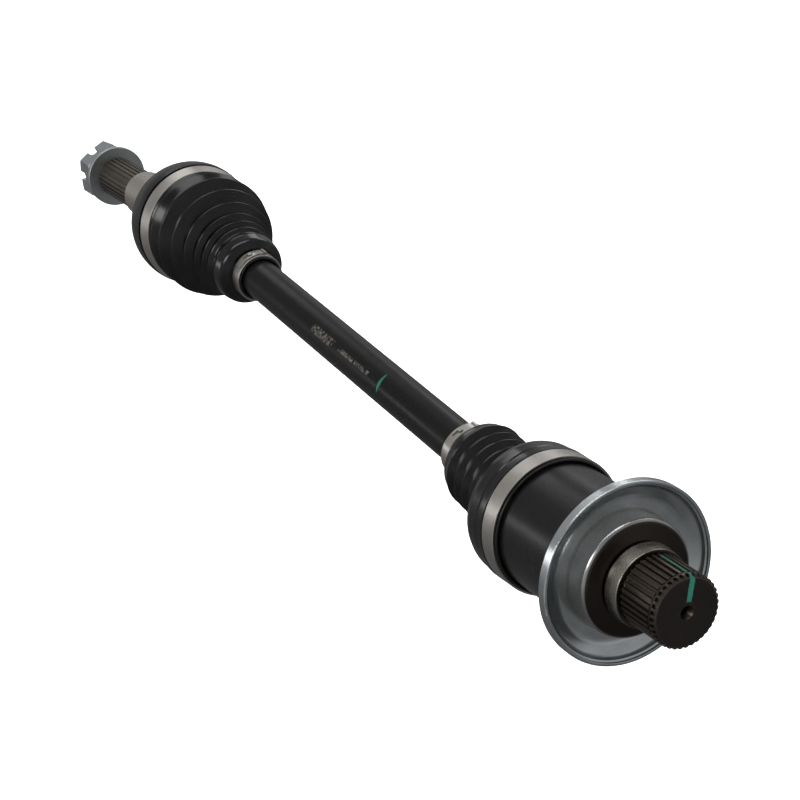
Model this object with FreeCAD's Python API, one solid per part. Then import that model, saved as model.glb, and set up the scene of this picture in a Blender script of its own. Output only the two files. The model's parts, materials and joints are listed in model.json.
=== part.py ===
# Rear half shaft with two constant-velocity joints, lying on a flat floor.
#
# Frame: millimetres, +Z up, +X along the bar from the gearbox end to the wheel end.
# The origin is on the floor under the middle of the whole axle.
#
# Each joint is built in its own straight frame: the joint centre at the origin and
# +X towards the wheel. It is then tilted about Y at its centre, because both joints
# droop a little when the axle lies on the floor.

import FreeCAD
import Part
import math
import os

from FreeCAD import Vector

# ---------------------------------------------------------------- where things lie
BAR_LENGTH = 422.5          # joint centre to joint centre
INNER_CENTRE_X = -242.4     # centre of the gearbox-side joint
CENTRE_HEIGHT = 39.54       # both joint centres above the floor
INNER_DROOP = 7.4           # degrees that the gearbox-side joint falls towards the bar
OUTER_DROOP = 7.2           # degrees that the wheel-side joint falls away from the bar

# ---------------------------------------------------------------- the bar
BAR_R = 11.4
BAR_TIP_R = 10.6            # splined ends of the bar
BAR_ROOT_R = 9.8
BAR_TEETH = 24
BAR_OVERHANG = 13.8         # bar beyond each joint centre

# ---------------------------------------------------------------- gearbox-side joint
INNER_BALL_R = 7.0
INNER_PITCH_R = 22.0        # circle of ball centres
INNER_GROOVE_R = 7.4
INNER_BORE_R = 24.5
INNER_CAGE_R = 24.2
INNER_CAGE_BORE_R = 20.3
INNER_CAGE_HALF = 10.5
INNER_RACE_R = 20.0
INNER_RACE_HALF = 10.5
HOUSING_R = 32.5
HOUSING_MOUTH_X = 22.0
CUP_FLOOR_X = -27.0
CUP_RING_X = 18.9           # gearbox side of the retaining ring in the cup
CUP_RING_WIDTH = 1.5
CUP_RING_R = 26.0
CUP_RING_BORE_R = 22.8

SHIELD_RIM_X = -54.0
SHIELD_R = 45.0
SHIELD_DEPTH = 6.6
SHEET = 1.6
SHIELD_SEAT_R = 30.0
SEAL_JOURNAL_R = 29.0

STUB_END_X = -98.6
STUB_FACE_R = 16.0
STUB_TIP_R = 17.8
STUB_ROOT_R = 16.5
STUB_TEETH = 36
STUB_SPLINE_X = -73.0       # where the stub's teeth stop
STUB_RING_X = -95.7

# ---------------------------------------------------------------- wheel-side joint
OUTER_BALL_R = 8.0
OUTER_PITCH_R = 25.5
OUTER_GROOVE_R = 8.8
OUTER_GROOVE_END_X = 19.0
BELL_BORE_R = 28.5
OUTER_CAGE_R = 28.2
OUTER_CAGE_BORE_R = 23.7
OUTER_CAGE_HALF = 12.5
OUTER_RACE_R = 23.4
OUTER_RACE_HALF = 11.0
BELL_R = 38.3
BELL_SEAT_R = 33.9          # boot seat at the mouth, a slight cone: radius at its middle
SEAT_MIDDLE_X = -10.8
SEAT_SLOPE = 0.17
BELL_MOUTH_X = -18.0
BELL_MOUTH_R = 31.6
BELL_STEP_X = -4.5
BELL_FACE_X = 36.0          # shoulder that the wheel bearing rests against
JOURNAL_R = 15.0
JOURNAL_END_X = 80.5
HUB_TIP_R = 13.4
HUB_ROOT_R = 12.4
HUB_TEETH = 28
HUB_SPLINE_END_X = 133.4
THREAD_R = 12.0
THREAD_PITCH = 1.5
AXLE_END_X = 162.0

WASHER_R = 20.0
WASHER_THICK = 3.6
NUT_FLATS = 36.0
NUT_HEIGHT = 18.0
NUT_SLOT_WIDTH = 5.6
NUT_SLOT_DEPTH = 6.4
COTTER_HOLE_R = 2.0
NUT_TURN = 10               # degrees that the nut's corner stands from the top

# ---------------------------------------------------------------- boots and clamps
RUBBER = 1.7
BAND = 0.9
BOOT_GAP = 0.3              # rubber stands this far off the parts it seals to
SMALL_COLLAR_R = 13.4
INNER_BIG_CLAMP = (7.8, 17.9, 34.7)     # start, end and bore radius at the middle
INNER_SMALL_CLAMP = (83.6, 91.9, 13.6)
OUTER_BIG_CLAMP = (-15.4, -6.2, 35.95)
OUTER_SMALL_CLAMP = (-95.4, -87.2, 13.6)

BALLS = 6
ORIGIN = Vector(0, 0, 0)
AXIS = Vector(1, 0, 0)


# ---------------------------------------------------------------- building helpers
def outline(points):
    """Face in the XZ plane; a third value in a point rounds that corner."""
    corners = []
    for index, point in enumerate(points):
        before = points[index - 1]
        after = points[(index + 1) % len(points)]
        here = Vector(point[0], 0, point[1])
        back = (Vector(before[0], 0, before[1]) - here).normalize()
        ahead = (Vector(after[0], 0, after[1]) - here).normalize()
        radius = point[2] if len(point) > 2 else 0
        if not radius:
            corners.append((here, None, here))
            continue
        half = back.getAngle(ahead) / 2
        reach = radius / math.tan(half)
        middle = here + (back + ahead).normalize() * (radius / math.sin(half) - radius)
        corners.append((here + back * reach, middle, here + ahead * reach))
    edges = []
    for index, (start, middle, end) in enumerate(corners):
        following = corners[(index + 1) % len(corners)][0]
        if middle is not None:
            edges.append(Part.Arc(start, middle, end).toShape())
        if end.distanceToPoint(following) > 1e-6:
            edges.append(Part.LineSegment(end, following).toShape())
    return Part.Face(Part.Wire(edges))


def turned(points):
    """Solid of revolution about X from points (x, radius, rounding)."""
    return outline(points).revolve(ORIGIN, AXIS, 360)


def ring(start, end, bore, radius, edge=0.0):
    """Plain turned ring, with its outer edges rounded by edge."""
    return turned([(start, bore), (start, radius, edge), (end, radius, edge), (end, bore)])


def disc(start, end, radius):
    return Part.makeCylinder(radius, end - start, Vector(start, 0, 0), AXIS)


def spun(shape, degrees):
    """Copy of shape turned about X."""
    copy = shape.copy()
    copy.rotate(ORIGIN, AXIS, degrees)
    return copy


def around(shape, count):
    """Copies of shape spaced evenly about X."""
    return [spun(shape, 360.0 * index / count) for index in range(count)]


def toothed_bar(start, end, root, tip, teeth):
    """Straight-sided spline bar along X."""
    pitch = 2 * math.pi / teeth
    corners = []
    for tooth in range(teeth):
        for share, radius in ((-0.20, tip), (0.20, tip), (0.31, root), (0.69, root)):
            angle = (tooth + share) * pitch
            corners.append(Vector(start, radius * math.sin(angle), radius * math.cos(angle)))
    corners.append(corners[0])
    return Part.Face(Part.makePolygon(corners)).extrude(Vector(end - start, 0, 0))


def grown(shape, gap, start, end, root, tip, teeth):
    """Shape with the hole of a toothed bar that is larger by gap."""
    return shape.cut(toothed_bar(start, end, root + gap, tip + gap, teeth))


def split_ring(start, end, bore, radius, gap, at):
    """Spring ring with a gap, open at the angle at from the top."""
    whole = ring(start, end, bore, radius, 0.2)
    notch = Part.makeBox(end - start + 2, gap, radius + 2, Vector(start - 1, -gap / 2, 0))
    return whole.cut(spun(notch, at))


def centre_hole(face_x, inward, radius, depth):
    """Lathe centre: a short bore with a 60-degree mouth, inward along X."""
    step = 1 if inward > 0 else -1
    mouth = radius * 1.9
    cone = (mouth - radius) * math.sqrt(3)
    return turned([
        (face_x - step, 0), (face_x - step, mouth), (face_x, mouth),
        (face_x + step * cone, radius), (face_x + step * depth, radius),
        (face_x + step * (depth + radius * 0.6), 0),
    ])


def slab(shape, start, end):
    """The stretch of shape from start to end along X."""
    reach = 200
    return shape.common(Part.makeBox(end - start, 2 * reach, 2 * reach, Vector(start, -reach, -reach)))


# ---------------------------------------------------------------- ball joint pieces
def ball_set(pitch_radius, ball_radius):
    ball = Part.makeSphere(ball_radius, Vector(0, 0, pitch_radius))
    return Part.makeCompound(around(ball, BALLS))


def ball_cage(radius, bore, half, ball_radius, window):
    """Spherical cage with one rounded window for each ball."""
    shell = Part.makeSphere(radius).cut(Part.makeSphere(bore))
    cage = slab(shell, -half, half)
    width = 2 * ball_radius + 0.1
    hole = Part.makeBox(width, window, radius, Vector(-width / 2, -window / 2, bore * 0.5))
    upright = [edge for edge in hole.Edges
               if abs(edge.Vertexes[0].Z - edge.Vertexes[-1].Z) > 1]
    return cage.cut(around(hole.makeFillet(3.0, upright), BALLS))


def straight_grooves(pitch_radius, groove_radius, start, end):
    groove = Part.makeCylinder(groove_radius, end - start, Vector(start, 0, pitch_radius), AXIS)
    return around(groove, BALLS)


def curved_grooves(pitch_radius, groove_radius):
    """Rings about the joint centre; each one makes two opposite grooves."""
    hoop = Part.makeTorus(pitch_radius, groove_radius, ORIGIN, Vector(0, 1, 0))
    return [spun(hoop, 360.0 * index / BALLS) for index in range(BALLS // 2)]


def ball_race(radius, half, grooves):
    """Inner race: a barrel with ball grooves and a splined bore."""
    barrel = slab(Part.makeSphere(radius), -half, half).cut(grooves)
    bored = barrel.cut(disc(-half - 1, half + 1, BAR_ROOT_R + 0.05))
    return grown(bored, 0.05, -half - 1, half + 1, BAR_ROOT_R, BAR_TIP_R, BAR_TEETH)


# ---------------------------------------------------------------- gearbox side
def inner_housing():
    """Plunge joint cup, seal journal and splined stub in one forging."""
    body = turned([
        (STUB_SPLINE_X, 0), (STUB_SPLINE_X, STUB_ROOT_R - 0.5),
        (-72.0, STUB_ROOT_R - 0.5, 0.4), (-72.0, 19.2, 0.5), (-63.4, 19.9, 0.5),
        (-63.0, 18.8), (-62.3, 18.8, 0.3), (-60.7, 27.0), (-58.9, SEAL_JOURNAL_R, 1.6),
        (-47.6, SEAL_JOURNAL_R), (-47.6, SHIELD_SEAT_R),
        (-45.8, SHIELD_SEAT_R), (-45.8, HOUSING_R - 1.2), (-44.6, HOUSING_R, 0.5),
        (HOUSING_MOUTH_X - 3, HOUSING_R), (HOUSING_MOUTH_X, HOUSING_R - 2.2, 0.6),
        (HOUSING_MOUTH_X, INNER_BORE_R + 1.2), (HOUSING_MOUTH_X - 1.2, INNER_BORE_R),
        (CUP_FLOOR_X, INNER_BORE_R, 3), (CUP_FLOOR_X - 6, 12, 4), (CUP_FLOOR_X - 6, 0),
    ])
    stub = turned([
        (STUB_END_X, 0), (STUB_END_X, STUB_FACE_R), (STUB_END_X + 1.4, STUB_TIP_R),
        (STUB_SPLINE_X, STUB_TIP_R), (STUB_SPLINE_X, 0),
    ])
    teeth = toothed_bar(STUB_END_X, STUB_SPLINE_X, STUB_ROOT_R, STUB_TIP_R, STUB_TEETH)
    body = body.fuse(stub.common(teeth))
    body = body.cut(straight_grooves(INNER_PITCH_R, INNER_GROOVE_R, CUP_FLOOR_X, HOUSING_MOUTH_X + 1))
    body = body.cut(ring(CUP_RING_X - 0.1, CUP_RING_X + CUP_RING_WIDTH + 0.1,
                         INNER_BORE_R - 3, CUP_RING_R + 0.1))
    body = body.cut(ring(STUB_RING_X - 0.1, STUB_RING_X + 1.4, STUB_ROOT_R - 0.9, STUB_TIP_R + 2))
    return body.cut(centre_hole(STUB_END_X, 1, 1.8, 7))


def dust_shield():
    """Pressed steel dish with a turned-forward rim."""
    rim = SHIELD_RIM_X
    back = rim + SHIELD_DEPTH + SHEET
    floor = back - SHEET
    return turned([
        (rim, SHIELD_R, 0.6), (back - 3.2, SHIELD_R), (back - 1.2, SHIELD_R - 1.3, 1.0),
        (back, SHIELD_R - 6), (back, SHIELD_SEAT_R), (floor, SHIELD_SEAT_R),
        (floor, 35.5, 6), (floor - 3.4, SHIELD_R - 3.2, 3.5), (rim + 1.6, SHIELD_R - 2.6),
        (rim + 1.2, SHIELD_R - 1.7, 0.3), (rim, SHIELD_R - 1.7, 0.4),
    ])


def inner_race():
    grooves = straight_grooves(INNER_PITCH_R, INNER_GROOVE_R + 0.1, -20, 20)
    return ball_race(INNER_RACE_R, INNER_RACE_HALF, grooves)


# ---------------------------------------------------------------- wheel side
def seat_radius(x):
    return BELL_SEAT_R + SEAT_SLOPE * (x - SEAT_MIDDLE_X)


def outer_housing():
    """Bell of the fixed joint, bearing journal, splined stub and threaded end."""
    bell = slab(Part.makeSphere(BELL_R), BELL_STEP_X, 27)
    seat = turned([
        (BELL_MOUTH_X, 0), (BELL_MOUTH_X, seat_radius(BELL_MOUTH_X), 0.4),
        (BELL_STEP_X, seat_radius(BELL_STEP_X)), (BELL_STEP_X, 0),
    ])
    neck = turned([
        (20, 0), (20, 29), (27, 27, 4), (31, 25.5, 4), (BELL_FACE_X, 24.4, 0.8),
        (BELL_FACE_X, JOURNAL_R - 0.5, 0.5), (BELL_FACE_X + 1.6, JOURNAL_R - 0.5),
        (BELL_FACE_X + 2.2, JOURNAL_R), (JOURNAL_END_X, JOURNAL_R, 0.6),
        (JOURNAL_END_X, HUB_ROOT_R - 0.4), (JOURNAL_END_X + 2.4, HUB_ROOT_R - 0.4, 0.6),
        (JOURNAL_END_X + 2.4, 0),
    ])
    stub = turned([
        (JOURNAL_END_X + 2.4, 0), (JOURNAL_END_X + 2.4, HUB_ROOT_R),
        (JOURNAL_END_X + 3.8, HUB_TIP_R), (HUB_SPLINE_END_X - 1.4, HUB_TIP_R),
        (HUB_SPLINE_END_X, HUB_ROOT_R - 0.2), (HUB_SPLINE_END_X, 0),
    ])
    teeth = toothed_bar(JOURNAL_END_X + 2.4, HUB_SPLINE_END_X, HUB_ROOT_R, HUB_TIP_R, HUB_TEETH)
    body = bell.fuse([seat, neck, stub.common(teeth), threaded_end()])
    mouth = turned([
        (-12.0, 0), (-12.0, math.sqrt(BELL_BORE_R ** 2 - 12.0 ** 2)),
        (BELL_MOUTH_X - 0.1, BELL_MOUTH_R), (BELL_MOUTH_X - 0.1, 0),
    ])
    grooves = [slab(hoop, -60, OUTER_GROOVE_END_X)
               for hoop in curved_grooves(OUTER_PITCH_R, OUTER_GROOVE_R)]
    body = body.cut(Part.makeSphere(BELL_BORE_R).fuse(mouth))
    for groove in grooves:
        body = body.cut(groove)
    cotter = Part.makeCylinder(COTTER_HOLE_R, 40, Vector(cotter_x(), 0, -20), Vector(0, 0, 1))
    return body.cut([spun(cotter, 30 + NUT_TURN), centre_hole(AXLE_END_X, -1, 2.2, 6)])


def nut_start():
    return HUB_SPLINE_END_X + WASHER_THICK


def cotter_x():
    return nut_start() + NUT_HEIGHT - NUT_SLOT_DEPTH / 2


def threaded_end():
    """Thread crests as a stack of shallow turned ridges."""
    start = HUB_SPLINE_END_X
    depth = 0.61 * THREAD_PITCH
    points = [(start, 0), (start, THREAD_R - depth)]
    turns = int((AXLE_END_X - start - 5) / THREAD_PITCH)
    for turn in range(turns):
        x = start + 3 + turn * THREAD_PITCH
        points.append((x, THREAD_R - depth))
        points.append((x + THREAD_PITCH * 0.45, THREAD_R))
        points.append((x + THREAD_PITCH * 0.55, THREAD_R))
    points.append((start + 3 + turns * THREAD_PITCH, THREAD_R - depth))
    points.append((AXLE_END_X, THREAD_R - depth, 0.6))
    points.append((AXLE_END_X, 0))
    return turned(points)


def hub_washer():
    start = HUB_SPLINE_END_X
    end = start + WASHER_THICK
    return turned([(start, THREAD_R + 0.5), (start, WASHER_R, 0.6),
                   (end, WASHER_R, 0.6), (end, THREAD_R + 0.5)])


def castle_nut():
    """Hexagon nut with six slots in its outer face."""
    start = nut_start()
    end = start + NUT_HEIGHT
    corner = NUT_FLATS / math.sqrt(3)
    corners = [Vector(start, corner * math.sin(math.radians(60 * side)),
                      corner * math.cos(math.radians(60 * side))) for side in range(7)]
    prism = Part.Face(Part.makePolygon(corners)).extrude(Vector(NUT_HEIGHT, 0, 0))
    chamfered = turned([
        (start, THREAD_R + 0.05), (start, corner - 1.9), (start + 1.1, corner + 0.1),
        (end - 1.6, corner + 0.1), (end, corner - 2.7), (end, THREAD_R + 1),
        (end - 1, THREAD_R + 0.05),
    ])
    slot = Part.makeBox(NUT_SLOT_DEPTH + 1, NUT_SLOT_WIDTH, 30,
                        Vector(end - NUT_SLOT_DEPTH, -NUT_SLOT_WIDTH / 2, 5))
    floor = Part.makeCylinder(NUT_SLOT_WIDTH / 2, 30, Vector(end - NUT_SLOT_DEPTH, 0, 5), Vector(0, 0, 1))
    slots = [spun(slot.fuse(floor), 30 + 60 * side) for side in range(6)]
    return spun(prism.common(chamfered).cut(slots), NUT_TURN)


# ---------------------------------------------------------------- bar
def axle_shaft():
    """Solid bar, splined at both ends, in the frame of the gearbox-side joint."""
    low = -BAR_OVERHANG
    high = BAR_LENGTH + BAR_OVERHANG
    near = INNER_RACE_HALF + 0.4
    far = BAR_LENGTH - OUTER_RACE_HALF - 0.4
    bar = turned([
        (near, 0), (near, BAR_TIP_R), (near + 2.4, BAR_R, 1), (far - 2.4, BAR_R, 1),
        (far, BAR_TIP_R), (far, 0),
    ])
    near_end = turned([(low, 0), (low, BAR_ROOT_R), (low + 1, BAR_TIP_R), (near, BAR_TIP_R), (near, 0)])
    far_end = turned([(far, 0), (far, BAR_TIP_R), (high - 1, BAR_TIP_R), (high, BAR_ROOT_R), (high, 0)])
    near_end = near_end.common(toothed_bar(low, near, BAR_ROOT_R, BAR_TIP_R, BAR_TEETH))
    far_end = far_end.common(toothed_bar(far, high, BAR_ROOT_R, BAR_TIP_R, BAR_TEETH))
    body = bar.fuse([near_end, far_end])
    near_groove = ring(-INNER_RACE_HALF - 1.5, -INNER_RACE_HALF, 9.0, 14)
    far_groove = ring(BAR_LENGTH + OUTER_RACE_HALF, BAR_LENGTH + OUTER_RACE_HALF + 1.5, 9.0, 14)
    return body.cut([near_groove, far_groove])


# ---------------------------------------------------------------- clamps
def wedge(start, end, bore, radius, first, last, slope):
    """Stretch of a conical ring between two angles from the top, in degrees."""
    rise = slope * (end - start) / 2
    face = Part.makePolygon([
        Vector(start, 0, bore - rise), Vector(start, 0, radius - rise),
        Vector(end, 0, radius + rise), Vector(end, 0, bore + rise), Vector(start, 0, bore - rise),
    ])
    piece = Part.Face(face)
    piece.rotate(ORIGIN, AXIS, first)
    return piece.revolve(ORIGIN, AXIS, last - first)


def band_clamp(clamp, lock_at, lock_width, lock_degrees, slope=0.0):
    """Flat steel band with a folded lock: an outer tab, its window and a hook."""
    start, end, bore = clamp
    radius = bore + BAND
    middle = (start + end) / 2
    half = lock_width / 2
    rise = slope * (end - start) / 2
    band = turned([(start, bore - rise), (start, radius - rise, 0.25),
                   (end, radius + rise, 0.25), (end, bore + rise)])
    tab = wedge(middle - half, middle + half, radius - 0.05, radius + BAND,
                lock_at - lock_degrees / 2, lock_at + lock_degrees / 2, slope)
    window = wedge(middle - half * 0.5, middle + half * 0.5, radius + 0.1, radius + 3,
                   lock_at - lock_degrees * 0.22, lock_at + lock_degrees * 0.06, slope)
    hook = wedge(middle - half * 0.4, middle + half * 0.4, radius - 0.05, radius + BAND * 1.7,
                 lock_at - lock_degrees * 0.04, lock_at + lock_degrees * 0.06, slope)
    fold = wedge(middle - half, middle + half, radius - 0.05, radius + BAND * 1.8,
                 lock_at + lock_degrees * 0.42, lock_at + lock_degrees / 2, slope)
    return band.fuse([tab.cut(window), hook, fold])


# ---------------------------------------------------------------- boots
def smooth(value):
    share = min(1.0, max(0.0, value))
    return share * share * (3 - 2 * share)


def bent_boot(skin, tilt):
    """Thin rubber sleeve: circles on the tilted axis, joined outside and inside."""
    inside = [(x, radius - RUBBER) for x, radius in reversed(skin)]
    circles = []
    for x, radius in skin + inside:
        circle = Part.makeCircle(radius, Vector(x, 0, 0), AXIS)
        circle.rotate(ORIGIN, Vector(0, 1, 0), tilt(x))
        circles.append(circle)
    circles.append(circles[0])
    faces = [Part.makeRuledSurface(one, two) for one, two in zip(circles, circles[1:])]
    sleeve = Part.makeSolid(Part.makeShell(faces))
    if sleeve.Volume < 0:
        sleeve.reverse()
    return sleeve


def inner_boot():
    """Boot of the plunge joint, from the cup to the bar: smooth flare, then close folds."""
    cuff = HOUSING_R + BOOT_GAP + RUBBER
    ridge = cuff + 1.2
    collar = SMALL_COLLAR_R
    skin = [
        (6.2, cuff - 0.3), (7.6, cuff), (18.1, cuff), (18.5, ridge), (23.3, ridge), (23.9, ridge - 0.5),
        (31.0, ridge - 0.7), (34.5, 34.0), (38.0, 31.3), (42.0, 27.3), (45.6, 23.2), (48.6, 20.6),
        (52.0, 22.6), (55.2, 19.9), (58.7, 22.6), (62.0, 19.8), (65.4, 22.5), (68.7, 19.7),
        (72.1, 22.4), (76.0, 21.6), (80.0, 18.6), (83.2, collar), (93.4, collar),
    ]

    def tilt(x):
        return INNER_DROOP * (1 - smooth((x - 22) / (80 - 22)))

    return bent_boot(skin, tilt)


def outer_boot():
    """Boot of the fixed joint, from the bar to the bell: dome, then folds that grow."""
    collar = SMALL_COLLAR_R
    skin = [
        (-97.0, collar), (-86.8, collar), (-85.4, 20.6), (-82.0, 23.9), (-76.5, 24.7), (-72.2, 20.8),
        (-69.2, 22.2), (-67.2, 20.4), (-65.3, 23.2), (-62.7, 21.2), (-60.0, 24.6), (-57.0, 22.8),
        (-53.4, 28.0), (-49.8, 25.6), (-45.0, 32.0), (-39.8, 29.4), (-34.0, 35.3), (-28.0, 32.6),
        (-22.0, 35.6), (-19.4, 34.4), (-17.4, 35.9), (-15.9, 35.9),
    ]
    for x in (-15.6, -5.0):
        skin.append((x, seat_radius(x) + 0.2 + RUBBER))

    def tilt(x):
        return OUTER_DROOP * smooth((x + 80) / (80 - 20))

    return bent_boot(skin, tilt)


# ---------------------------------------------------------------- placing
def placed(shape, centre_x, droop):
    """Tilt a joint's part about its centre and put it in the axle's frame."""
    shape.rotate(ORIGIN, Vector(0, 1, 0), droop)
    shape.translate(Vector(centre_x, 0, CENTRE_HEIGHT))
    return shape


def at_inner(shape, droop=0.0):
    return placed(shape, INNER_CENTRE_X, droop)


def at_outer(shape, droop=0.0):
    return placed(shape, INNER_CENTRE_X + BAR_LENGTH, droop)


def gearbox_side():
    ball_tilt = INNER_DROOP / 2
    return {
        "inner_housing": at_inner(inner_housing(), INNER_DROOP),
        "dust_shield": at_inner(dust_shield(), INNER_DROOP),
        "stub_circlip": at_inner(
            split_ring(STUB_RING_X, STUB_RING_X + 1.3, STUB_ROOT_R - 0.7, STUB_TIP_R - 0.2, 5, 200),
            INNER_DROOP),
        "cup_retaining_ring": at_inner(
            split_ring(CUP_RING_X, CUP_RING_X + CUP_RING_WIDTH, CUP_RING_BORE_R, CUP_RING_R, 6, 150),
            INNER_DROOP),
        "inner_ball_cage": at_inner(
            ball_cage(INNER_CAGE_R, INNER_CAGE_BORE_R, INNER_CAGE_HALF, INNER_BALL_R, 16.0), ball_tilt),
        "inner_balls": at_inner(ball_set(INNER_PITCH_R, INNER_BALL_R), ball_tilt),
        "inner_race": at_inner(inner_race()),
        "inner_race_circlip": at_inner(
            split_ring(-INNER_RACE_HALF - 1.4, -INNER_RACE_HALF - 0.1, 9.2, 12.4, 4, 180)),
        "inner_boot": at_inner(inner_boot()),
        "inner_boot_large_clamp": at_inner(band_clamp(INNER_BIG_CLAMP, 105, 6.4, 34), INNER_DROOP),
        "inner_boot_small_clamp": at_inner(band_clamp(INNER_SMALL_CLAMP, -12, 5.6, 74)),
    }


def wheel_side():
    ball_tilt = OUTER_DROOP / 2
    return {
        "outer_housing": at_outer(outer_housing(), OUTER_DROOP),
        "hub_washer": at_outer(hub_washer(), OUTER_DROOP),
        "castle_nut": at_outer(castle_nut(), OUTER_DROOP),
        "outer_ball_cage": at_outer(
            ball_cage(OUTER_CAGE_R, OUTER_CAGE_BORE_R, OUTER_CAGE_HALF, OUTER_BALL_R, 18.6), ball_tilt),
        "outer_balls": at_outer(ball_set(OUTER_PITCH_R, OUTER_BALL_R), ball_tilt),
        "outer_race": at_outer(
            ball_race(OUTER_RACE_R, OUTER_RACE_HALF, curved_grooves(OUTER_PITCH_R, OUTER_GROOVE_R))),
        "outer_race_circlip": at_outer(
            split_ring(OUTER_RACE_HALF + 0.1, OUTER_RACE_HALF + 1.4, 9.2, 12.4, 4, 180)),
        "outer_boot": at_outer(outer_boot()),
        "outer_boot_large_clamp": at_outer(
            band_clamp(OUTER_BIG_CLAMP, 105, 5.6, 32, SEAT_SLOPE), OUTER_DROOP),
        "outer_boot_small_clamp": at_outer(band_clamp(OUTER_SMALL_CLAMP, -6, 5.6, 74)),
    }


def main():
    os.makedirs("parts", exist_ok=True)
    parts = {"axle_shaft": at_inner(axle_shaft())}
    parts.update(gearbox_side())
    parts.update(wheel_side())
    for node, shape in parts.items():
        shape.exportStep("parts/" + node + ".step")
        box = shape.BoundBox
        print(node, "solids", len(shape.Solids), "valid", shape.isValid(),
              "volume", round(shape.Volume / 1000, 2), "cm3, x",
              round(box.XMin, 1), round(box.XMax, 1), "z", round(box.ZMin, 2), round(box.ZMax, 2))


main()
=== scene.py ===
import json
import math

import bpy
from mathutils import Matrix, Vector


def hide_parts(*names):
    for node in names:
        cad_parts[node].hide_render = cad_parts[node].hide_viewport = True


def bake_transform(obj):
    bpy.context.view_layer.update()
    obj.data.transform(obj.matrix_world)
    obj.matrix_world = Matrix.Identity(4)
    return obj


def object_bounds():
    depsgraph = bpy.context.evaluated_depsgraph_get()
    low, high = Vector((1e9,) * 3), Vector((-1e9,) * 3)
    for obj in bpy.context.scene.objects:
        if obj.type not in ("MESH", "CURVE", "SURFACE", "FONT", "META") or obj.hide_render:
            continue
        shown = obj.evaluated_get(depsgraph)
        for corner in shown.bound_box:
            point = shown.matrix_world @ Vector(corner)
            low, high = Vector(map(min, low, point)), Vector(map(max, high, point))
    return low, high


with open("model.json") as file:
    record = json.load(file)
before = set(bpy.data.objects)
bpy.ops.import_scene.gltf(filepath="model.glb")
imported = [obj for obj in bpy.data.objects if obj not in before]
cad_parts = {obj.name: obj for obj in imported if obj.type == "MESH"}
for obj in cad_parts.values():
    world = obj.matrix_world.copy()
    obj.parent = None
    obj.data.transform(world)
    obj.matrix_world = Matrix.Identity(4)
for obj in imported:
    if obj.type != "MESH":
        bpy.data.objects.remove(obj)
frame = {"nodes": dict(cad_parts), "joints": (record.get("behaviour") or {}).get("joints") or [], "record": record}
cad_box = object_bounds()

MM = 0.001                  # one millimetre in the frame's metres
PER_METRE = 1000.0

joints = {joint["name"]: joint for joint in frame["joints"]}
mounts = {mount["name"]: mount for mount in frame["record"]["mounts"]}

# Each joint has its own straight frame: centre, axis towards the wheel, side and up.
INNER = Vector(joints["inner_bend"]["pos_m"])
OUTER = Vector(joints["outer_bend"]["pos_m"])
INNER_AXIS = Vector(joints["inner_plunge"]["axis"]).normalized()
OUTER_AXIS = Vector(mounts["hub_spline"]["axis"]).normalized()
BAR_AXIS = Vector((1, 0, 0))
SIDE = Vector((0, 1, 0))
INNER_DROOP = math.degrees(math.atan2(-INNER_AXIS.z, INNER_AXIS.x))
OUTER_DROOP = math.degrees(math.atan2(-OUTER_AXIS.z, OUTER_AXIS.x))


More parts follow.
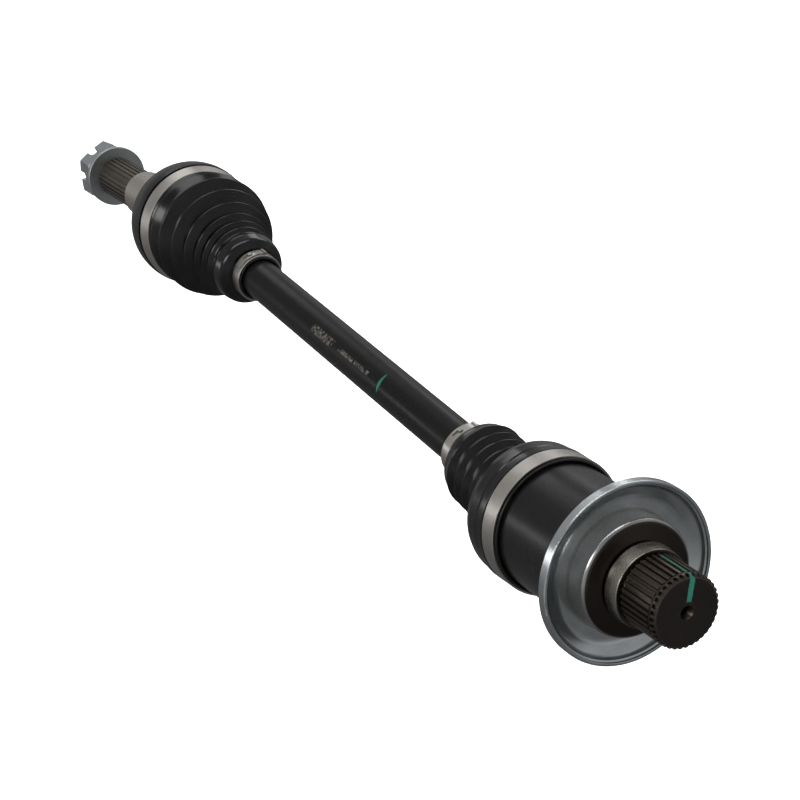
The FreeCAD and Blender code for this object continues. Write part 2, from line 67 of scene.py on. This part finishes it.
# ---------------------------------------------------------------- material graphs
class Graph:
    """One material's node graph, with short calls for the nodes used here."""

    def __init__(self, name):
        self.material = bpy.data.materials.new(name)
        self.material.use_nodes = True
        self.nodes = self.material.node_tree.nodes
        self.links = self.material.node_tree.links
        self.shader = self.nodes["Principled BSDF"]
        self.place = self.nodes.new("ShaderNodeTexCoord").outputs["Object"]

    def put(self, value, socket):
        """Link a socket, or set a colour or a number."""
        if isinstance(value, bpy.types.NodeSocket):
            self.links.new(value, socket)
        elif isinstance(value, (tuple, list)) and len(socket.default_value) == 4:
            socket.default_value = (*value, 1.0) if len(value) == 3 else value
        else:
            socket.default_value = value

    def math(self, operation, *values):
        node = self.nodes.new("ShaderNodeMath")
        node.operation = operation
        for value, socket in zip(values, node.inputs):
            self.put(value, socket)
        return node.outputs[0]

    def vector(self, operation, *values):
        node = self.nodes.new("ShaderNodeVectorMath")
        node.operation = operation
        for value, socket in zip(values, node.inputs):
            self.put(value, socket)
        return node.outputs["Value"] if operation == "DOT_PRODUCT" else node.outputs[0]

    def combine(self, *values):
        node = self.nodes.new("ShaderNodeCombineXYZ")
        for value, socket in zip(values, node.inputs):
            self.put(value, socket)
        return node.outputs[0]

    def noise(self, place, scale, detail=3.0, roughness=0.55):
        node = self.nodes.new("ShaderNodeTexNoise")
        self.put(place, node.inputs["Vector"])
        node.inputs["Scale"].default_value = scale
        node.inputs["Detail"].default_value = detail
        node.inputs["Roughness"].default_value = roughness
        return node.outputs[0]

    def remap(self, value, low, high, out_low, out_high, smooth=False):
        node = self.nodes.new("ShaderNodeMapRange")
        node.interpolation_type = "SMOOTHSTEP" if smooth else "LINEAR"
        for entry, socket in zip((value, low, high, out_low, out_high), node.inputs):
            self.put(entry, socket)
        return node.outputs[0]

    def step(self, value, at, soft):
        """0 before the place, 1 after it."""
        return self.remap(value, at - soft, at + soft, 0.0, 1.0, True)

    def between(self, value, low, high, soft):
        """1 between the two places, 0 elsewhere."""
        after_low = self.step(value, low, soft)
        before_high = self.remap(value, high - soft, high + soft, 1.0, 0.0, True)
        return self.math("MULTIPLY", after_low, before_high)

    def mix(self, share, low, high):
        """Colour between low and high."""
        node = self.nodes.new("ShaderNodeMix")
        node.data_type = "RGBA"
        self.put(share, node.inputs["Factor"])
        self.put(low, node.inputs[6])
        self.put(high, node.inputs[7])
        return node.outputs[2]

    def blend(self, share, low, high):
        """Number between low and high."""
        node = self.nodes.new("ShaderNodeMix")
        node.data_type = "FLOAT"
        self.put(share, node.inputs["Factor"])
        self.put(low, node.inputs[2])
        self.put(high, node.inputs[3])
        return node.outputs[0]

    def bump(self, height, strength, distance, before=None):
        node = self.nodes.new("ShaderNodeBump")
        node.inputs["Strength"].default_value = strength
        node.inputs["Distance"].default_value = distance
        self.put(height, node.inputs["Height"])
        if before is not None:
            self.put(before, node.inputs["Normal"])
        return node.outputs[0]

    def turned(self, centre, axis):
        """Millimetres along the axis and from it, and the angle from the top in degrees."""
        up = axis.cross(SIDE)
        moved = self.vector("SUBTRACT", self.place, tuple(centre))
        scaled = self.vector("MULTIPLY", moved, (PER_METRE, PER_METRE, PER_METRE))
        along = self.vector("DOT_PRODUCT", scaled, tuple(axis))
        side = self.vector("DOT_PRODUCT", scaled, tuple(SIDE))
        height = self.vector("DOT_PRODUCT", scaled, tuple(up))
        side_square = self.math("MULTIPLY", side, side)
        height_square = self.math("MULTIPLY", height, height)
        radius = self.math("SQRT", self.math("ADD", side_square, height_square))
        angle = self.math("MULTIPLY", self.math("ARCTAN2", side, height), 180.0 / math.pi)
        return along, radius, angle

    def lathe(self, along, radius, angle, stretch=0.02):
        """Texture place whose grain runs round the axis."""
        return self.combine(along, radius, self.math("MULTIPLY", angle, stretch))

    def finish(self, color, roughness, normal=None, metallic=None, gloss=0.5):
        self.shader.inputs["Specular IOR Level"].default_value = gloss
        self.put(color, self.shader.inputs["Base Color"])
        self.put(roughness, self.shader.inputs["Roughness"])
        if normal is not None:
            self.put(normal, self.shader.inputs["Normal"])
        if metallic is not None:
            self.put(metallic, self.shader.inputs["Metallic"])
        return self.material


PAINT_GREEN = (0.008, 0.105, 0.072)     # inspection paint on the bar and the gearbox stub

# Marks on the bar: millimetres from the inner joint, and degrees from the top.
SMALL_TICKS = (177.0, 214.0, 38.0, 50.0)
LARGE_TICKS = (217.0, 242.0, 31.0, 56.0)
TICKS_PER_MM = 1.15
TICK_ROWS_PER_DEGREE = 0.16
STROKE_X = 165.0
STROKE_ANGLE = 41.0
STROKE_REACH = 33.0         # degrees to each side
STROKE_HALF_WIDTH = 1.25


def bar_material():
    """Satin black coat, one green inspection stroke and two dull etched rows of ticks."""
    g = Graph("bar_coat")
    along, _, angle = g.turned(INNER, BAR_AXIS)
    fine = g.noise(g.place, 2600.0, 2.0)
    broad = g.noise(g.place, 38.0, 4.0)
    color = g.mix(broad, (0.0030, 0.0030, 0.0028), (0.0050, 0.0050, 0.0047))
    rough = g.remap(broad, 0.3, 0.7, 0.26, 0.33)

    # etched ticks: cells along the bar, about half of them filled
    cell = g.math("FLOOR", g.math("MULTIPLY", along, TICKS_PER_MM))
    row = g.math("FLOOR", g.math("MULTIPLY", angle, TICK_ROWS_PER_DEGREE))
    random = g.nodes.new("ShaderNodeTexWhiteNoise")
    random.noise_dimensions = "2D"
    g.put(g.combine(cell, row, 0.0), random.inputs["Vector"])
    filled = g.step(random.outputs["Value"], 0.52, 0.01)
    areas = []
    for first_x, last_x, first_angle, last_angle in (SMALL_TICKS, LARGE_TICKS):
        on_length = g.between(along, first_x, last_x, 0.2)
        areas.append(g.math("MULTIPLY", on_length, g.between(angle, first_angle, last_angle, 0.6)))
    ticks = g.math("MULTIPLY", g.math("MAXIMUM", *areas), filled)
    worn = g.remap(g.noise(g.place, 900.0, 3.0), 0.35, 0.62, 0.25, 1.0)
    ticks = g.math("MULTIPLY", ticks, worn)
    color = g.mix(ticks, color, (0.11, 0.10, 0.088))

    # inspection stroke: a brush mark round part of the bar, thicker in the middle
    reach = g.math("DIVIDE", g.math("SUBTRACT", angle, STROKE_ANGLE), STROKE_REACH)
    swell = g.math("SUBTRACT", 1.0, g.math("MULTIPLY", reach, reach))
    half = g.math("MULTIPLY", g.math("MAXIMUM", swell, 0.0), STROKE_HALF_WIDTH)
    wobble = g.math("MULTIPLY", g.math("SUBTRACT", g.noise(g.place, 420.0, 3.0), 0.5), 0.9)
    off = g.math("ABSOLUTE", g.math("ADD", g.math("SUBTRACT", along, STROKE_X), wobble))
    stroke = g.remap(g.math("SUBTRACT", half, off), 0.0, 0.25, 0.0, 1.0, True)
    color = g.mix(stroke, color, PAINT_GREEN)
    rough = g.blend(g.math("MAXIMUM", stroke, ticks), rough, 0.5)
    normal = g.bump(g.math("ADD", fine, g.math("MULTIPLY", stroke, 3.0)), 0.12, 0.00006)
    return g.finish(color, rough, normal, gloss=0.16)


# Zones of the gearbox forging, in millimetres along its axis from the inner joint.
CUP_X = -46.0               # black coat from here to the mouth
JOURNAL_FRONT_X = -59.9
RECESS_FRONT_X = -63.9
COLLAR_FRONT_X = -71.6
SPLINE_BACK_X = -71.7
STUB_FACE_X = -98.5
STRIPE_ANGLE = -22.5        # green stripe along the spline and across the end face
STRIPE_HALF_WIDTH = 1.15
STRIPE_BACK_X = -74.8
STRIPE_INNER_R = 5.2


def gearbox_material():
    """Gloss black cup, oiled turned journal and brown-grey splined stub; the turned ring before the spline is
    painted lighter as a highlight, and the step up to the journal is painted darker as shade.
    """
    g = Graph("gearbox_forging")
    along, radius, angle = g.turned(INNER, INNER_AXIS)
    grain = g.lathe(along, radius, angle)
    lines = g.noise(grain, 3.0, 4.0, 0.6)
    broad = g.noise(g.place, 45.0, 4.0)
    cup = g.step(along, CUP_X, 0.25)
    spline = g.remap(along, SPLINE_BACK_X - 0.2, SPLINE_BACK_X + 0.2, 1.0, 0.0, True)
    painted_collar_highlight = g.between(along, COLLAR_FRONT_X, RECESS_FRONT_X, 0.2)
    painted_recess_shade = g.between(along, RECESS_FRONT_X, JOURNAL_FRONT_X, 0.3)
    face = g.remap(along, STUB_FACE_X - 0.06, STUB_FACE_X + 0.06, 1.0, 0.0, True)

    steel = g.mix(broad, (0.34, 0.34, 0.33), (0.48, 0.48, 0.47))
    brown = g.mix(broad, (0.060, 0.049, 0.041), (0.115, 0.096, 0.082))
    # painted highlight: the ring before the spline is painted a lighter beige steel than the journal
    color = g.mix(painted_collar_highlight, steel, (0.52, 0.48, 0.42))
    # painted shade: the step between that ring and the journal is painted near black
    color = g.mix(painted_recess_shade, color, (0.045, 0.038, 0.033))
    color = g.mix(spline, color, brown)
    color = g.mix(face, color, (0.0075, 0.0055, 0.0047))
    black = g.mix(broad, (0.0030, 0.0030, 0.0030), (0.0052, 0.0052, 0.0050))
    color = g.mix(cup, color, black)

    stripe_off = g.math("ABSOLUTE", g.math("SUBTRACT", angle, STRIPE_ANGLE))
    arc = g.math("MULTIPLY", stripe_off, g.math("MULTIPLY", radius, math.pi / 180.0))
    ragged = g.math("SUBTRACT", g.noise(g.place, 500.0, 3.0), 0.5)
    on = g.remap(g.math("ADD", arc, ragged), STRIPE_HALF_WIDTH, 1.5, 1.0, 0.0, True)
    on_stub = g.remap(along, STRIPE_BACK_X - 0.4, STRIPE_BACK_X + 0.4, 1.0, 0.0, True)
    length = g.math("MULTIPLY", on_stub, g.step(radius, STRIPE_INNER_R, 0.5))
    paint = g.math("MULTIPLY", on, length)
    color = g.mix(paint, color, PAINT_GREEN)

    bare = g.math("MULTIPLY", g.math("SUBTRACT", 1.0, cup), g.math("SUBTRACT", 1.0, paint))
    metal = g.math("MULTIPLY", bare, g.remap(face, 0.0, 1.0, 1.0, 0.25))
    turned_rough = g.remap(lines, 0.3, 0.7, 0.22, 0.34)
    coat_rough = g.remap(broad, 0.3, 0.7, 0.22, 0.30)
    rough = g.blend(cup, turned_rough, coat_rough)
    rough = g.blend(spline, rough, g.remap(lines, 0.3, 0.7, 0.30, 0.46))
    rough = g.blend(g.math("MAXIMUM", face, paint), rough, 0.52)
    fine = g.noise(g.place, 1500.0, 2.0)
    normal = g.bump(lines, 0.10, 0.0001, g.bump(fine, 0.04, 0.00004))
    return g.finish(color, rough, normal, metal, gloss=0.25)


# Zones of the wheel forging, in millimetres along its axis from the outer joint.
BELL_BACK_X = 36.8
HUB_SPLINE_X = 80.8
THREAD_X = 133.2


def wheel_material():
    """Dark bell, bright ground journal, oily spline and dull thread."""
    g = Graph("wheel_forging")
    along, radius, angle = g.turned(OUTER, OUTER_AXIS)
    grain = g.lathe(along, radius, angle)
    lines = g.noise(grain, 1.6, 3.0, 0.55)
    broad = g.noise(g.place, 45.0, 4.0)
    journal = g.between(along, BELL_BACK_X, HUB_SPLINE_X - 0.1, 0.25)
    spline = g.step(along, HUB_SPLINE_X, 0.2)
    thread = g.step(along, THREAD_X, 0.2)
    color = g.mix(broad, (0.0035, 0.0034, 0.0032), (0.0060, 0.0058, 0.0056))
    color = g.mix(journal, color, g.mix(lines, (0.40, 0.37, 0.33), (0.55, 0.51, 0.46)))
    color = g.mix(spline, color, g.mix(broad, (0.10, 0.088, 0.073), (0.17, 0.15, 0.126)))
    color = g.mix(thread, color, g.mix(broad, (0.17, 0.17, 0.165), (0.27, 0.27, 0.26)))
    rough = g.remap(broad, 0.3, 0.7, 0.26, 0.36)
    rough = g.blend(journal, rough, g.remap(lines, 0.3, 0.7, 0.20, 0.32))
    rough = g.blend(spline, rough, g.remap(lines, 0.3, 0.7, 0.34, 0.50))
    fine = g.noise(g.place, 1500.0, 2.0)
    normal = g.bump(lines, 0.08, 0.0001, g.bump(fine, 0.03, 0.00004))
    return g.finish(color, rough, normal, g.math("MAXIMUM", journal, spline), gloss=0.25)


def turned_steel(name, place, dark, light, rough, lines_strength=0.2, mottle=60.0):
    """Bare steel with grain round its axis and faint cloudy patches; place is centre and axis."""
    g = Graph(name)
    along, radius, angle = g.turned(*place)
    grain = g.lathe(along, radius, angle)
    lines = g.noise(grain, 6.0, 4.0, 0.7)
    patches = g.noise(g.place, mottle, 5.0)
    tone = g.math("ADD", g.math("MULTIPLY", lines, 0.45), g.math("MULTIPLY", patches, 0.55))
    color = g.mix(g.remap(tone, 0.32, 0.68, 0.0, 1.0), dark, light)
    roughness = g.remap(tone, 0.3, 0.7, rough[0], rough[1])
    specks = g.noise(g.place, 1800.0, 2.0)
    normal = g.bump(lines, lines_strength, 0.00010, g.bump(specks, 0.08, 0.00005))
    g.shader.inputs["Metallic"].default_value = 1.0
    return g.finish(color, roughness, normal)


def rubber_material(name, place):
    """Smooth moulded rubber: faint sheen changes, dust and flow marks round the axis."""
    g = Graph(name)
    along, radius, angle = g.turned(*place)
    flow = g.noise(g.lathe(along, radius, angle, 0.05), 0.5, 3.0)
    skin = g.noise(g.place, 2200.0, 2.0)
    dust = g.noise(g.place, 90.0, 6.0, 0.7)
    dusty = g.remap(dust, 0.35, 0.75, 0.0, 1.0)
    color = g.mix(dusty, (0.0016, 0.0016, 0.0017), (0.0032, 0.0031, 0.0030))
    rough = g.math("ADD", g.remap(flow, 0.3, 0.7, 0.15, 0.20), g.remap(dust, 0.45, 0.8, 0.0, 0.06))
    normal = g.bump(skin, 0.03, 0.00004, g.bump(flow, 0.05, 0.00012))
    return g.finish(color, rough, normal, gloss=0.42)


# ---------------------------------------------------------------- mesh helpers
CORNER_STEPS = 9


def rounded(points):
    """Corner points (x, r, rounding) to a line whose corners are cut by short curves."""
    line = []
    last = len(points) - 1
    for index, point in enumerate(points):
        here = Vector(point[:2])
        cut = point[2] if len(point) > 2 else 0.0
        if index in (0, last) or cut == 0.0:
            line.append(here)
            continue
        back = Vector(points[index - 1][:2]) - here
        ahead = Vector(points[index + 1][:2]) - here
        half = back.angle(ahead) / 2
        room = 0.48 * min(back.length, ahead.length)
        reach = min(cut / math.tan(half), room)
        start = here + back.normalized() * reach
        end = here + ahead.normalized() * reach
        for step in range(CORNER_STEPS + 1):
            t = step / CORNER_STEPS
            line.append(start * (1 - t) ** 2 + here * 2 * t * (1 - t) + end * t ** 2)
    return line


def filled_in(line, longest):
    """The same line with no stretch longer than longest."""
    result = [line[0]]
    for start, end in zip(line, line[1:]):
        pieces = max(1, math.ceil((end - start).length / longest))
        for piece in range(1, pieces + 1):
            result.append(start.lerp(end, piece / pieces))
    return result


def smooth(value):
    """0 to 1 with an even start and end."""
    share = min(1.0, max(0.0, value))
    return share * share * (3 - 2 * share)


def sleeve(name, line, wall, centre, tilt, around=176):
    """Closed rubber skin: the line turned about an axis that tilts as tilt(x) says."""
    inside = [Vector((point.x, point.y - wall)) for point in reversed(line)]
    verts = []
    for point in line + inside:
        turn = math.radians(tilt(point.x))
        for step in range(around):
            angle = 2 * math.pi * step / around
            side = point.y * math.sin(angle)
            height = point.y * math.cos(angle)
            verts.append((
                centre.x + (point.x * math.cos(turn) + height * math.sin(turn)) * MM,
                centre.y + side * MM,
                centre.z + (height * math.cos(turn) - point.x * math.sin(turn)) * MM,
            ))
    rings = len(line) * 2
    faces = []
    for ring in range(rings):
        after = (ring + 1) % rings
        for step in range(around):
            beside = (step + 1) % around
            faces.append((ring * around + step, ring * around + beside,
                          after * around + beside, after * around + step))
    mesh = bpy.data.meshes.new(name)
    mesh.from_pydata(verts, [], faces)
    mesh.polygons.foreach_set("use_smooth", [True] * len(faces))
    mesh.update()
    piece = bpy.data.objects.new(name, mesh)
    bpy.context.scene.collection.objects.link(piece)
    return piece


# ---------------------------------------------------------------- boots
# Outlines are (x, radius, rounding) in millimetres from the joint's centre, along its axis.
RUBBER = 1.7                # wall
CUFF = 34.5                 # under the inner boot's large clamp
RIDGE = 35.7
COLLAR = 13.4               # under both small clamps
INNER_SPLIT_X = 31.5        # where the inner boot is split into a cuff and a bellows
LONGEST_STEP = 1.6          # along an outline

inner_profile = [
    (6.2, CUFF - 0.3), (6.5, CUFF, 0.3), (18.3, CUFF, 0.2), (18.5, RIDGE, 0.5), (23.2, RIDGE, 0.5),
    (23.9, 34.9, 0.5), (25.2, 35.25, 0.8), (31.5, 34.95, 4.0), (35.2, 33.7, 4.0), (42.2, 26.9, 9.0),
    (45.8, 22.6, 3.0), (48.6, 20.2, 1.6),
    (52.0, 23.0, 0.7), (55.2, 19.7, 1.1), (58.7, 23.0, 0.7), (62.0, 19.6, 1.1), (65.4, 22.9, 0.7),
    (68.7, 19.5, 1.1), (72.1, 22.9, 0.8), (75.2, 21.4, 2.0), (79.0, 20.6, 4.0), (82.6, 14.2, 3.0),
    (83.4, COLLAR, 0.6), (92.9, COLLAR, 0.4), (93.3, COLLAR - 0.5),
]
outer_profile = [
    (-95.9, COLLAR - 0.5), (-95.7, COLLAR, 0.3), (-86.9, COLLAR, 0.5), (-86.4, 16.2, 1.5),
    (-83.6, 20.6, 4.0), (-77.0, 21.6, 4.0), (-72.0, 19.6, 1.2),
    (-69.6, 22.5, 0.8), (-67.2, 19.3, 0.7), (-65.1, 24.3, 0.8), (-62.2, 20.0, 0.8), (-59.9, 26.4, 0.8),
    (-56.4, 21.8, 1.0), (-53.5, 30.2, 0.9), (-48.8, 24.8, 1.2), (-45.2, 34.3, 1.0), (-38.6, 28.6, 1.4),
    (-34.2, 37.2, 1.1), (-27.2, 32.4, 1.6), (-22.0, 37.0, 0.8), (-19.2, 34.6, 1.2), (-17.2, 36.4, 0.7),
    (-15.8, 35.9, 0.3), (-15.55, 34.99, 0.2), (-5.2, 36.75, 0.2), (-5.0, 36.3),
]


def inner_tilt(x):
    """Degrees of droop: all of it at the cup's mouth, none at the bar."""
    mouth, on_bar = 22, 80
    return INNER_DROOP * (1 - smooth((x - mouth) / (on_bar - mouth)))


def outer_tilt(x):
    """Degrees of droop: none at the bar, all of it at the bell's mouth."""
    on_bar, mouth = -80, -20
    return OUTER_DROOP * smooth((x - on_bar) / (mouth - on_bar))


def boot_line(profile):
    return filled_in(rounded(profile), LONGEST_STEP)


inner_line = boot_line(inner_profile)
split = min(range(len(inner_line)), key=lambda i: abs(inner_line[i].x - INNER_SPLIT_X))
cuff_line, bellows_line = inner_line[:split + 1], inner_line[split:]

inner_cuff = sleeve("inner_boot_cuff", cuff_line, RUBBER, INNER, inner_tilt)
inner_bellows = sleeve("inner_boot_bellows", bellows_line, RUBBER, INNER, inner_tilt)
outer_bellows = sleeve("outer_boot_bellows", boot_line(outer_profile), RUBBER, OUTER, outer_tilt)

INNER_PLACE = (INNER, INNER_AXIS)
OUTER_PLACE = (OUTER, OUTER_AXIS)
inner_rubber = rubber_material("inner_rubber", INNER_PLACE)
outer_rubber = rubber_material("outer_rubber", OUTER_PLACE)
boots = ((inner_cuff, inner_rubber), (inner_bellows, inner_rubber), (outer_bellows, outer_rubber))
for piece, material in boots:
    piece.data.materials.append(material)

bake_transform(inner_cuff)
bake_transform(inner_bellows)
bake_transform(outer_bellows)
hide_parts("inner_boot")
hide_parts("inner_boot")
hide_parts("outer_boot")

# ---------------------------------------------------------------- CAD pieces' finishes
# Each finish is its dark and light colour and its least and greatest roughness.
ZINC_SHIELD = ((0.40, 0.43, 0.445), (0.62, 0.65, 0.665), (0.17, 0.24))
BAND = ((0.40, 0.38, 0.35), (0.54, 0.515, 0.48), (0.28, 0.40))
ZINC_HARDWARE = ((0.34, 0.36, 0.37), (0.46, 0.485, 0.50), (0.34, 0.46))
SPRING = ((0.030, 0.027, 0.024), (0.060, 0.055, 0.048), (0.34, 0.46))
GROUND = ((0.40, 0.40, 0.40), (0.58, 0.58, 0.57), (0.16, 0.28))
POLISHED = ((0.68, 0.68, 0.68), (0.80, 0.80, 0.80), (0.05, 0.10))

shield_steel = turned_steel("shield_zinc", INNER_PLACE, *ZINC_SHIELD)
band_inner = turned_steel("band_inner", INNER_PLACE, *BAND, lines_strength=0.25)
band_outer = turned_steel("band_outer", OUTER_PLACE, *BAND, lines_strength=0.25)
hardware = turned_steel("hardware_zinc", OUTER_PLACE, *ZINC_HARDWARE, lines_strength=0.12, mottle=130.0)
spring_inner = turned_steel("spring_inner", INNER_PLACE, *SPRING)
spring_outer = turned_steel("spring_outer", OUTER_PLACE, *SPRING)
ground_inner = turned_steel("ground_inner", (INNER, BAR_AXIS), *GROUND)
ground_outer = turned_steel("ground_outer", (OUTER, BAR_AXIS), *GROUND)
ball_steel = turned_steel("ball_polished", (INNER, BAR_AXIS), *POLISHED, lines_strength=0.02)

finishes = {
    "axle_shaft": bar_material(),
    "inner_housing": gearbox_material(),
    "dust_shield": shield_steel,
    "stub_circlip": spring_inner,
    "cup_retaining_ring": spring_inner,
    "inner_ball_cage": ground_inner,
    "inner_balls": ball_steel,
    "inner_race": ground_inner,
    "inner_race_circlip": spring_inner,
    "inner_boot_large_clamp": band_inner,
    "inner_boot_small_clamp": band_inner,
    "outer_housing": wheel_material(),
    "hub_washer": hardware,
    "castle_nut": hardware,
    "outer_ball_cage": ground_outer,
    "outer_balls": ball_steel,
    "outer_race": ground_outer,
    "outer_race_circlip": spring_outer,
    "outer_boot_large_clamp": band_outer,
    "outer_boot_small_clamp": band_outer,
}
for node, material in finishes.items():
    mesh = frame["nodes"][node].data
    mesh.materials.clear()
    mesh.materials.append(material)

# ---------------------------------------------------------------- floor, world and lights
# The floor lies below the lowest point that the bent axle reaches, and pale walls stand round it.
FLOOR_DROP = 0.34
STUDIO_REACH = 14.0
STUDIO_HEIGHT = 9.0
FLOOR_GLOW = 0.78
floor_z = cad_box[0][2] - FLOOR_DROP
corners = [(-STUDIO_REACH, -STUDIO_REACH), (STUDIO_REACH, -STUDIO_REACH),
           (STUDIO_REACH, STUDIO_REACH), (-STUDIO_REACH, STUDIO_REACH)]
levels = (floor_z, floor_z + STUDIO_HEIGHT)
studio_verts = [(x, y, z) for z in levels for x, y in corners]
studio_faces = [(0, 1, 2, 3)] + [(i, (i + 1) % 4, (i + 1) % 4 + 4, i + 4) for i in range(4)]
floor_mesh = bpy.data.meshes.new("floor")
floor_mesh.from_pydata(studio_verts, [], studio_faces)
floor = bpy.data.objects.new("floor", floor_mesh)
bpy.context.scene.collection.objects.link(floor)
paper = Graph("floor_paper")
speck = paper.noise(paper.place, 30.0, 3.0)
paper.shader.inputs["Emission Color"].default_value = (1.0, 1.0, 1.0, 1.0)
paper.shader.inputs["Emission Strength"].default_value = FLOOR_GLOW
paper.finish(paper.mix(speck, (0.90, 0.90, 0.90), (0.93, 0.93, 0.93)), 0.9)
floor_mesh.materials.append(paper.material)
floor.visible_glossy = False

world = bpy.data.worlds.new("studio")
bpy.context.scene.world = world
world.use_nodes = True
sky = world.node_tree
direction = sky.nodes.new("ShaderNodeTexCoord").outputs["Generated"]
parts = sky.nodes.new("ShaderNodeSeparateXYZ")
ramp = sky.nodes.new("ShaderNodeValToRGB")
sky.links.new(direction, parts.inputs[0])
half_way = sky.nodes.new("ShaderNodeMapRange")
half_way.inputs["From Min"].default_value = -1.0
sky.links.new(parts.outputs["Z"], half_way.inputs["Value"])
sky.links.new(half_way.outputs[0], ramp.inputs[0])
sky.links.new(ramp.outputs[0], sky.nodes["Background"].inputs["Color"])
# Brightness of the sky from straight down (0) through the horizon (0.5) to straight up (1).
SKY_DOWN = (0.10, 0.10, 0.10, 1)
SKY_UP = (0.20, 0.20, 0.205, 1)
SKY_LEVELS = ((0.25, 0.16), (0.40, 0.24), (0.50, 0.46), (0.57, 0.46), (0.66, 0.34), (0.8, 0.45))
stops = ramp.color_ramp.elements
stops[0].color = SKY_DOWN
stops[1].color = SKY_UP
for position, level in SKY_LEVELS:
    stop = stops.new(position)
    stop.color = (level, level, level * 1.01, 1)


def softbox(name, place, width, height, power):
    """Area light that points at the middle of the axle."""
    light = bpy.data.lights.new(name, "AREA")
    light.shape = "RECTANGLE"
    light.size = width
    light.size_y = height
    light.energy = power
    lamp = bpy.data.objects.new(name, light)
    bpy.context.scene.collection.objects.link(lamp)
    lamp.location = place
    towards = Vector((0, 0, 0.04)) - Vector(place)
    lamp.rotation_euler = towards.to_track_quat("-Z", "Y").to_euler()


softbox("key", (-0.5, 1.3, 1.1), 1.0, 0.55, 9.0)
softbox("top", (0.15, -0.1, 1.7), 1.7, 0.8, 12.0)
softbox("rim", (0.7, -1.4, 0.8), 1.5, 0.6, 6.0)
softbox("back", (1.05, -0.25, 0.62), 0.45, 0.22, 0.6)
softbox("left", (0.62, 0.74, 0.20), 0.22, 0.16, 0.35)

# ---------------------------------------------------------------- camera
CAMERA_FROM_INNER = Vector((-0.69893, 0.37732, 0.60524))
YAW, PITCH, ROLL = (math.radians(value) for value in (-23.702, 32.994, 11.2555))
SENSOR = 36.0
FOCAL_LENGTH = 94.8141      # millimetres, like the sensor

camera_data = bpy.data.cameras.new("camera")
camera_data.sensor_width = SENSOR
camera_data.lens = FOCAL_LENGTH
camera_data.clip_end = 60.0
camera = bpy.data.objects.new("camera", camera_data)
bpy.context.scene.collection.objects.link(camera)
forward = Vector((math.cos(PITCH) * math.cos(YAW), math.cos(PITCH) * math.sin(YAW), -math.sin(PITCH)))
level_right = forward.cross(Vector((0, 0, 1))).normalized()
level_down = forward.cross(level_right)
right = level_right * math.cos(ROLL) + level_down * math.sin(ROLL)
down = level_down * math.cos(ROLL) - level_right * math.sin(ROLL)
turn = Matrix((right, -down, -forward)).transposed()
camera.matrix_world = Matrix.Translation(INNER + CAMERA_FROM_INNER) @ turn.to_4x4()
bpy.context.scene.camera = camera
bpy.context.scene.view_settings.view_transform = "Standard"
